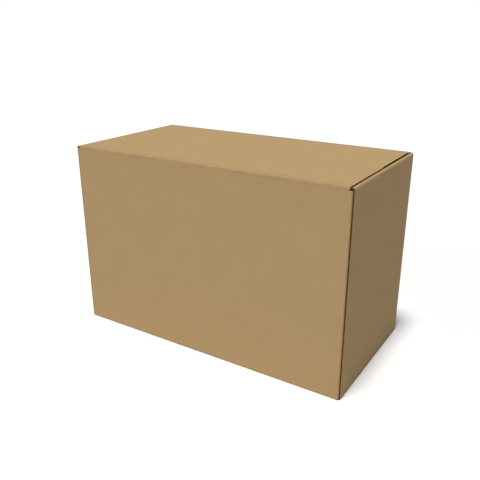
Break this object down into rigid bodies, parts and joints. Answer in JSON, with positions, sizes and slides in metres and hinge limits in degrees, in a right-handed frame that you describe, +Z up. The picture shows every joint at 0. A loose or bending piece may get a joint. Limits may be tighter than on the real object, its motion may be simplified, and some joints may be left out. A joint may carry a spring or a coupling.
{
  "type": "closed cardboard mailer box",
  "caption": "Plain brown die-cut corrugated mailer box with a hinged lid, inner tuck flap, dust wings and rolled double end walls, closed and untaped.",
  "frame": {"origin": "centre of the footprint, on the surface the box stands on", "axes": "+X along the length, +Y from the hinge wall to the front wall, +Z up"},
  "size_m": [0.396, 0.2, 0.255],
  "materials": {
    "kraft_board": "matte uncoated kraft liner"
  },
  "bodies": {
    "tray": {"tray": "kraft_board"},
    "lid": {"lid": "kraft_board"}
  },
  "joints": [
    {"name": "lid_hinge", "type": "hinge", "parent": "tray", "child": "lid", "pos_m": [0, -0.09927, 0.25427], "axis": [1, 0, 0], "range_deg": [0, 175]}
  ]
}
